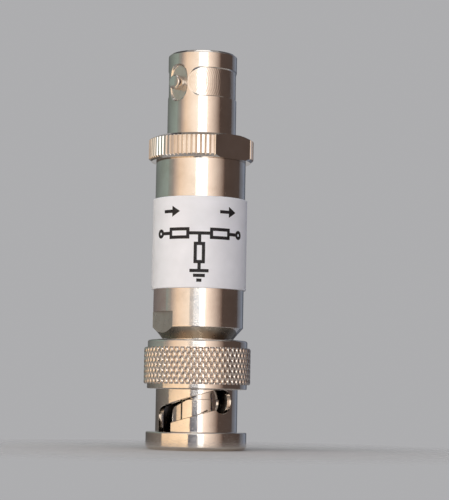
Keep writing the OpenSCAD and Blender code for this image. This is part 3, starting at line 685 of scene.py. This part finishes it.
def makePlug():
    bandTop, seat = tipFoot + plug["bandH"], shoulderFoot + plug["seatGap"]
    boreR, fingerR, rootR = plug["fingerBore"] / 2, plug["fingerD"] / 2, plug["rootD"] / 2
    shoulderR, neckR, rearR = plug["shoulderD"] / 2, plug["neckD"] / 2, plug["rearBore"] / 2
    body = revolve("plugBody", softProfile([
        (boreR, tipFoot, 0.05), (fingerR, tipFoot, 0.16), (fingerR, bandTop, 0.04), (rootR, bandTop, 0.03),
        (rootR, shoulderFoot), (shoulderR, shoulderFoot), (shoulderR, waveFoot), (neckR, waveFoot),
        (neckR, neckTop), (rearR, neckTop), (rearR, shoulderFoot), (boreR, shoulderFoot),
    ], 0.03), ringAngles(288))
    for i in range(plug["fingers"]):
        slit = rectangle(plug["slitW"], -1, plug["slitLen"])
        angle = (i + 0.5) * 360 / plug["fingers"]
        carve(body, radialPrism(slit, angle, tipFoot, boreR / 2, 2 * fingerR))
    finishPiece(body, "attenuator", [paint["polishedNickel"]], ["plug_body"])
    insulator = revolve("plugInsulator", softProfile([
        (plug["cavityD"] / 2, pinTip, 0.08), (plug["frontD"] / 2, pinTip, 0.12), (plug["frontD"] / 2, seat),
        (plug["rearD"] / 2, seat), (plug["rearD"] / 2, plugSeat), (plug["shankBore"] / 2, plugSeat),
        (plug["shankBore"] / 2, gasketFoot), (plug["cavityD"] / 2, gasketFoot),
    ], 0.03), ringAngles(128))
    finishPiece(insulator, "attenuator", [paint["whitePtfe"]], ["plug_insulator"])
    pinR, cupFoot = plug["pinD"] / 2, pinTop - plug["cupDepth"]
    tip = [(pinR * math.sin(a), pinTip + pinR * (1 - math.cos(a)), 0) for a in np.radians(range(0, 91, 9))]
    pin = revolve("plugPin", softProfile([
        *tip, (pinR, gasketFoot), (plug["shankD"] / 2, gasketFoot), (plug["shankD"] / 2, plugSeat),
        (plug["cupD"] / 2, plugSeat), (plug["cupD"] / 2, pinTop), (plug["cupBore"] / 2, pinTop),
        (plug["cupBore"] / 2, cupFoot), (0, cupFoot, 0),
    ], 0.02), ringAngles(96))
    finishPiece(pin, "attenuator", [paint["goldPlate"]], ["plug_pin"])
    gasket = revolve("plugGasket", softProfile([
        (plug["gasketBore"] / 2, gasketFoot), (shoulderR, gasketFoot, 0.15),
        (shoulderR, shoulderFoot), (plug["gasketBore"] / 2, shoulderFoot),
    ], 0.05), ringAngles(128))
    finishPiece(gasket, "attenuator", [paint["redSilicone"]], ["plug_gasket"])


makePlug()

# Spring washer, drawn with its waves; the real one flattens as the nut is drawn down
wave = {"boreD": 8.7, "outerD": 9.6, "strip": 0.3, "waves": 3, "steps": 240}


def makeWaveWasher():
    rise = waveTop - waveFoot - wave["strip"]
    vertices = []
    for i in range(wave["steps"]):
        turn = 2 * math.pi * i / wave["steps"]
        lift = rise * (1 - math.cos(wave["waves"] * turn)) / 2
        for radius, height in ((wave["boreD"] / 2, 0), (wave["outerD"] / 2, 0),
                               (wave["outerD"] / 2, wave["strip"]), (wave["boreD"] / 2, wave["strip"])):
            vertices.append((radius * math.sin(turn), -radius * math.cos(turn), waveFoot + lift + height))
    faces = []
    for i in range(wave["steps"]):
        ahead = (i + 1) % wave["steps"]
        for k in range(4):
            up = (k + 1) % 4
            faces.append((4 * i + k, 4 * i + up, 4 * ahead + up, 4 * ahead + k))
    washer = newPiece("waveWasher", vertices, faces)
    finishPiece(washer, "attenuator", [paint["springSteel"]], ["wave_washer"])
    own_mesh(washer)


makeWaveWasher()

# Coupling nut: slotted sleeve, mouth flange and diamond knurl
nut = {
    "flangeD": 13.9, "flangeH": 2.45, "flangeChamfer": 0.4, "boreD": 9.8, "sleeveD": 11.3, "sleeveH": 5.8,
    "collarD": 13.8, "bandBelowH": 0.68, "knurlH": 5.0, "knurlD": 2 * outerRadius("coupling_nut"),
    "knurlDepth": 0.17, "knurlEdge": 0.2, "runOut": 0.3, "blunt": 0.38,
    "diamonds": 55, "rows": 7, "turnSteps": 12, "rowSteps": 6, "neckHoleD": 8.7, "edge": 0.15,
    "entryAngle": -50.8, "slotTurn": 90.0, "rampTurn": 78.0, "rampLead": 3.0, "slotW": 2.6, "slotRise": 2.2,
    "detentD": 3.2, "detentDrop": 0.25, "slotWeb": 0.04, "slotBevel": 0.09, "grooveD": 11.5,
    "cutPast": 0.5, "bevelPast": 0.3, "bevelUnder": 0.06,     # how far the cutters reach past what they cut
}
sleeveTop = nut["flangeH"] + nut["sleeveH"]
knurlFoot = sleeveTop + nut["bandBelowH"]
knurlTop = knurlFoot + nut["knurlH"]
bevelFrom = nut["sleeveD"] / 2 - nut["slotBevel"]


def knurlHeight(angles, height):
    # blunt points between two sets of crossing grooves, which run out to both edges
    rowH = nut["knurlH"] / nut["rows"]
    along = ((height - knurlFoot) / rowH + 0.5) / 2
    around = angles * nut["diamonds"] / 360
    first, second = around + along, around - along
    toFirst, toSecond = (np.abs(2 * (way - np.round(way))) for way in (first, second))
    off = np.hypot(toFirst ** 2, toSecond ** 2) ** 0.5
    flank = np.clip((1 - off) / (1 - nut["blunt"]), 0, 1)
    worn = min(1, nut["knurlEdge"] + min(height - knurlFoot, knurlTop - height) / (nut["runOut"] * rowH))
    return (1.5 * flank - 0.5 * flank ** 3) * worn


def knurledRadius(radius, height, angles):
    if radius < nut["knurlD"] / 2 - tiny:
        return np.full(len(angles), radius)
    return radius - nut["knurlDepth"] * (1 - knurlHeight(angles, height))


def makeNut():
    flangeR, sleeveR, collarR, knurlR = (nut[key] / 2 for key in ("flangeD", "sleeveD", "collarD", "knurlD"))
    boreR, holeR, edge, chamfer = nut["boreD"] / 2, nut["neckHoleD"] / 2, nut["edge"], nut["flangeChamfer"]
    past = nut["cutPast"]
    outline = softProfile([
        (boreR, nutFoot, edge), (flangeR - chamfer, nutFoot, 0.08), (flangeR, nutFoot + chamfer, 0.1),
        (flangeR, nut["flangeH"], edge), (sleeveR, nut["flangeH"], 0.05), (sleeveR, sleeveTop, 0.05),
        (collarR, sleeveTop, edge), (collarR, knurlFoot, 0), (knurlR, knurlFoot, 0), (knurlR, knurlTop, 0),
        (collarR, knurlTop, 0), (collarR, nutTop, 2 * edge), (holeR, nutTop), (holeR, nutRear),
        (boreR, nutRear),
    ], 0.04)
    at = next(i for i, point in enumerate(outline) if point[0] > knurlR - tiny)
    rowCount = nut["rowSteps"] * nut["rows"]
    rows = [(knurlR, knurlFoot + nut["knurlH"] * k / rowCount) for k in range(1, rowCount)]
    profile = outline[:at + 1] + rows + outline[at + 1:]
    angles = ringAngles(nut["turnSteps"] * nut["diamonds"])

    def splitAt(row, column):
        # the diagonal that follows the grooves
        if not at <= row < at + rowCount:
            return None
        sides = angles[column] + np.array([0, 360 / len(angles)])
        low, high = profile[row][1], profile[row + 1][1]
        centre = knurlHeight(sides.mean(), (low + high) / 2)
        ends = [knurlHeight(sides, height) for height in (low, high)]
        rising, falling = (ends[0][0] + ends[1][1]) / 2, (ends[0][1] + ends[1][0]) / 2
        return abs(rising - centre) < abs(falling - centre)

    shell = revolve("couplingNut", profile, angles, knurledRadius, splitAt)
    entries = [nut["entryAngle"] + side for side in (0, 180)]
    cuts = [(boreR - past, sleeveR + past, 0), (bevelFrom - nut["bevelUnder"], sleeveR + nut["bevelPast"], 1)]
    for inner, outer, flare in cuts:
        cutters = [cutter for entry in entries for cutter in slotCutters(entry, inner, outer, flare)]
        carve(shell, fused(cutters))
    wayIn = rectangle(nut["slotW"] - 2 * tiny, -1, nut["flangeH"] + past)
    carve(shell, fused([radialPrism(wayIn, entry, 0, boreR - past, nut["grooveD"] / 2) for entry in entries]))

    def pick(centre, normal):
        # the bore takes the painted shade
        if math.hypot(centre.x, centre.y) < boreR + 0.05:
            return 1
        # the top face takes the painted shade
        if centre.z > nutTop - tiny:
            return 3
        return 2 if knurlFoot < centre.z < knurlTop else 0

    names = ("polishedNickel", "boreNickelPaintedShade", "knurledNickel", "topFacePaintedShade")
    coats = [paint[name] for name in names]
    finishPiece(shell, "nut", coats, ["coupling_nut"], pick, sharp=40)


def slotCutters(entry, inner, outer, flare):
    # one climbing slot with its round-topped way in and its detent; flare widens them outwards for a bevel
    half, detent = nut["slotW"] / 2, sleeveTop - nut["detentD"] / 2 - nut["slotWeb"]
    start = detent + nut["detentDrop"] - nut["slotRise"]
    shrink, grow = flare * (bevelFrom - inner), flare * (outer - bevelFrom)
    stations = []
    for k in range(61):
        turn = -nut["rampLead"] + (nut["slotTurn"] + nut["rampLead"]) * k / 60
        height = start + nut["slotRise"] * min(1, turn / nut["rampTurn"])
        stations.append((entry + turn, height - half, height + half))
    foot = nut["flangeH"] + tiny * flare - start
    return [
        ribbon(stations, inner, outer, shrink, grow),
        radialPrism(archway(half - shrink, foot), entry, start, inner, outer, archway(half + grow, foot)),
        radialPrism(circle(nut["detentD"] - 2 * shrink, 80), entry + nut["slotTurn"], detent, inner, outer,
                    circle(nut["detentD"] + 2 * grow, 80)),
    ]


def archway(half, foot):
    top = [(half * math.cos(math.pi * k / 24), half * math.sin(math.pi * k / 24)) for k in range(25)]
    return top + [(-half, foot), (half, foot)]


makeNut()

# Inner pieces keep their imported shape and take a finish
innerFinishes = {
    "jack_lock_ring": "bareBrass", "plug_lock_ring": "bareBrass",
    "upper_spacer": "bareBrass", "lower_spacer": "bareBrass",
    "upper_resistor_rod": "resistorCeramic", "lower_resistor_rod": "resistorCeramic",
    "upper_resistor_caps": "tinnedSteel", "lower_resistor_caps": "tinnedSteel",
    "shunt_disc": "resistorCeramic", "shunt_hub": "goldPlate", "thrust_washer": "springSteel",
}
for node, finish in innerFinishes.items():
    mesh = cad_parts[node].data
    mesh.materials.clear()
    mesh.materials.append(paint[finish])
print("inner pieces painted:", len(innerFinishes))

# Studio: a pale floor that fades into a backdrop of nearly its tone, and soft cards and lamps round the part
studio = {
    "floorTone": (0.64, 0.64, 0.65), "floorSize": 0.4, "floorFade": (0.012, 0.05),
    "backdrop": (0.42, 0.42, 0.43), "aim": (0, 0, 0.027),
    "cards": [       # reach in metres, azimuths to the right of the camera's side, foot and top, end tones
        (0.90, (-90, -74), (-0.65, 0.70), (0.32, 0.38, 0.36), (0.42, 0.38, 0.35)),
        (0.90, (-74, -54), (-0.65, 0.70), (0.45, 0.39, 0.36), (1.15, 0.90, 0.70)),
        (0.90, (-54, -12), (-0.65, 0.70), (1.15, 0.90, 0.70), (1.50, 1.35, 1.20)),
        (0.90, (-12, 17), (-0.35, 0.40), (2.4, 2.4, 2.4), (2.4, 2.4, 2.4)),
        (0.90, (17, 62), (-0.65, 0.70), (1.60, 1.36, 1.20), (0.18, 0.12, 0.10)),
        (0.90, (62, 118), (-0.65, 0.70), (0.11, 0.08, 0.07), (0.09, 0.07, 0.065)),
        (0.90, (118, 150), (-0.65, 0.70), (0.15, 0.15, 0.17), (0.27, 0.32, 0.42)),
        (0.90, (150, 168), (-0.65, 0.70), (0.14, 0.16, 0.20), (0.10, 0.11, 0.14)),
        (0.90, (195, 270), (-0.65, 0.70), (0.13, 0.14, 0.14), (0.37, 0.46, 0.43)),
        (0.85, (-90, -84), (-0.65, 0.02), (0.24, 0.21, 0.19), (0.26, 0.23, 0.20)),
        (0.85, (-84, -18), (-0.65, 0.02), (1.12, 0.84, 0.58), (1.68, 1.30, 0.90)),
        (0.85, (-18, 4), (-0.65, 0.02), (0.16, 0.16, 0.20), (0.22, 0.25, 0.32)),
        (0.85, (195, 270), (-0.65, 0.02), (0.08, 0.08, 0.08), (0.24, 0.21, 0.19)),
        (0.85, (-22, 3), (0.046, 0.08), (0.55, 0.56, 0.60), (0.70, 0.80, 0.95)),
        (0.85, (195, 270), (0.046, 0.10), (0.16, 0.14, 0.14), (0.33, 0.28, 0.27)),
        (0.90, (95, 265), (0.70, 1.60), (0.10, 0.10, 0.11), (0.10, 0.10, 0.11)),
    ],
    "lamps": [       # place in metres, size, power, tone, and whether the plating shows it
        ((-0.44, -0.20, 0.26), 0.30, 0.5, (1.0, 0.98, 0.96), False),
        ((0.0, 0.0, 0.90), 0.50, 0.8, (0.92, 0.96, 1.0), True),
    ],
}


def makeFloor():
    half = studio["floorSize"] / 2
    mesh = bpy.data.meshes.new("floor")
    corners = [(-half, -half, 0), (half, -half, 0), (half, half, 0), (-half, half, 0)]
    mesh.from_pydata(corners, [], [(0, 1, 2, 3)])
    floor = bpy.data.objects.new("floor", mesh)
    scene.collection.objects.link(floor)
    tone = studio["floorTone"]
    darker = tuple(0.97 * c for c in tone)
    material = makeFinish("paleFloor", {"patch": 60.0, "rough": (0.7, 0.85),
                                        "sockets": {"Specular IOR Level": 0.1},
                                        "tones": [(0.3, darker), (0.7, tone)], "grain": [(2.0, 0.01, even)]})
    tree = material.node_tree
    distance = tree.nodes.new("ShaderNodeVectorMath")
    distance.operation = "LENGTH"
    tree.links.new(tree.nodes.new("ShaderNodeTexCoord").outputs["Object"], distance.inputs[0])
    hidden = tree.nodes.new("ShaderNodeMath")   # far away, and from below
    hidden.operation = "MAXIMUM"
    tree.links.new(ranged(tree, distance.outputs["Value"], 0, 1, studio["floorFade"]), hidden.inputs[0])
    tree.links.new(tree.nodes.new("ShaderNodeNewGeometry").outputs["Backfacing"], hidden.inputs[1])
    mix = tree.nodes.new("ShaderNodeMixShader")
    tree.links.new(hidden.outputs["Value"], mix.inputs["Fac"])
    tree.links.new(tree.nodes["Principled BSDF"].outputs["BSDF"], mix.inputs[1])
    tree.links.new(tree.nodes.new("ShaderNodeBsdfTransparent").outputs["BSDF"], mix.inputs[2])
    tree.links.new(mix.outputs["Shader"], tree.nodes["Material Output"].inputs["Surface"])
    mesh.materials.append(material)


def makeBackdrop():
    world = bpy.data.worlds.new("backdrop")
    scene.world = world
    world.use_nodes = True
    world.node_tree.nodes["Background"].inputs["Color"].default_value = (*studio["backdrop"], 1)


def makeCard(name, reach, azimuths, heights, tones):
    # an upright strip round the part that glows from one tone to the other
    turns = np.radians(np.linspace(*azimuths, 25))
    vertices = [(reach * math.sin(turn), -reach * math.cos(turn), height)
                for turn in turns for height in heights]
    card = newPiece(name, vertices, [(2 * i, 2 * i + 1, 2 * i + 3, 2 * i + 2) for i in range(len(turns) - 1)])
    material = bpy.data.materials.new(name)
    material.use_nodes = True
    tree = material.node_tree
    tree.nodes.remove(tree.nodes["Principled BSDF"])
    around = tree.nodes.new("ShaderNodeTexGradient")
    around.gradient_type = "RADIAL"
    tree.links.new(tree.nodes.new("ShaderNodeTexCoord").outputs["Object"], around.inputs["Vector"])
    ends = [((azimuth + 90) / 360, tone) for azimuth, tone in zip(azimuths, tones)]
    glow = tree.nodes.new("ShaderNodeEmission")
    tree.links.new(toneRamp(tree, around.outputs["Fac"], ends), glow.inputs["Color"])
    tree.links.new(glow.outputs["Emission"], tree.nodes["Material Output"].inputs["Surface"])
    card.data.materials.append(material)
    card.visible_camera = False


def makeLamps():
    for i, (place, size, power, tone, shown) in enumerate(studio["lamps"]):
        data = bpy.data.lights.new("softLamp" + str(i + 1), "AREA")
        data.shape = "DISK"
        data.size = size
        data.energy = power
        data.color = tone
        lamp = bpy.data.objects.new(data.name, data)
        lamp.location = place
        lamp.rotation_euler = (Vector(studio["aim"]) - Vector(place)).to_track_quat("-Z", "Y").to_euler()
        lamp.visible_glossy = shown
        lamp.visible_camera = False
        scene.collection.objects.link(lamp)


makeFloor()
makeBackdrop()
for i, (reach, azimuths, heights, *tones) in enumerate(studio["cards"]):
    makeCard("card" + str(i + 1), reach, azimuths, heights, tones)
makeLamps()
print("studio made")
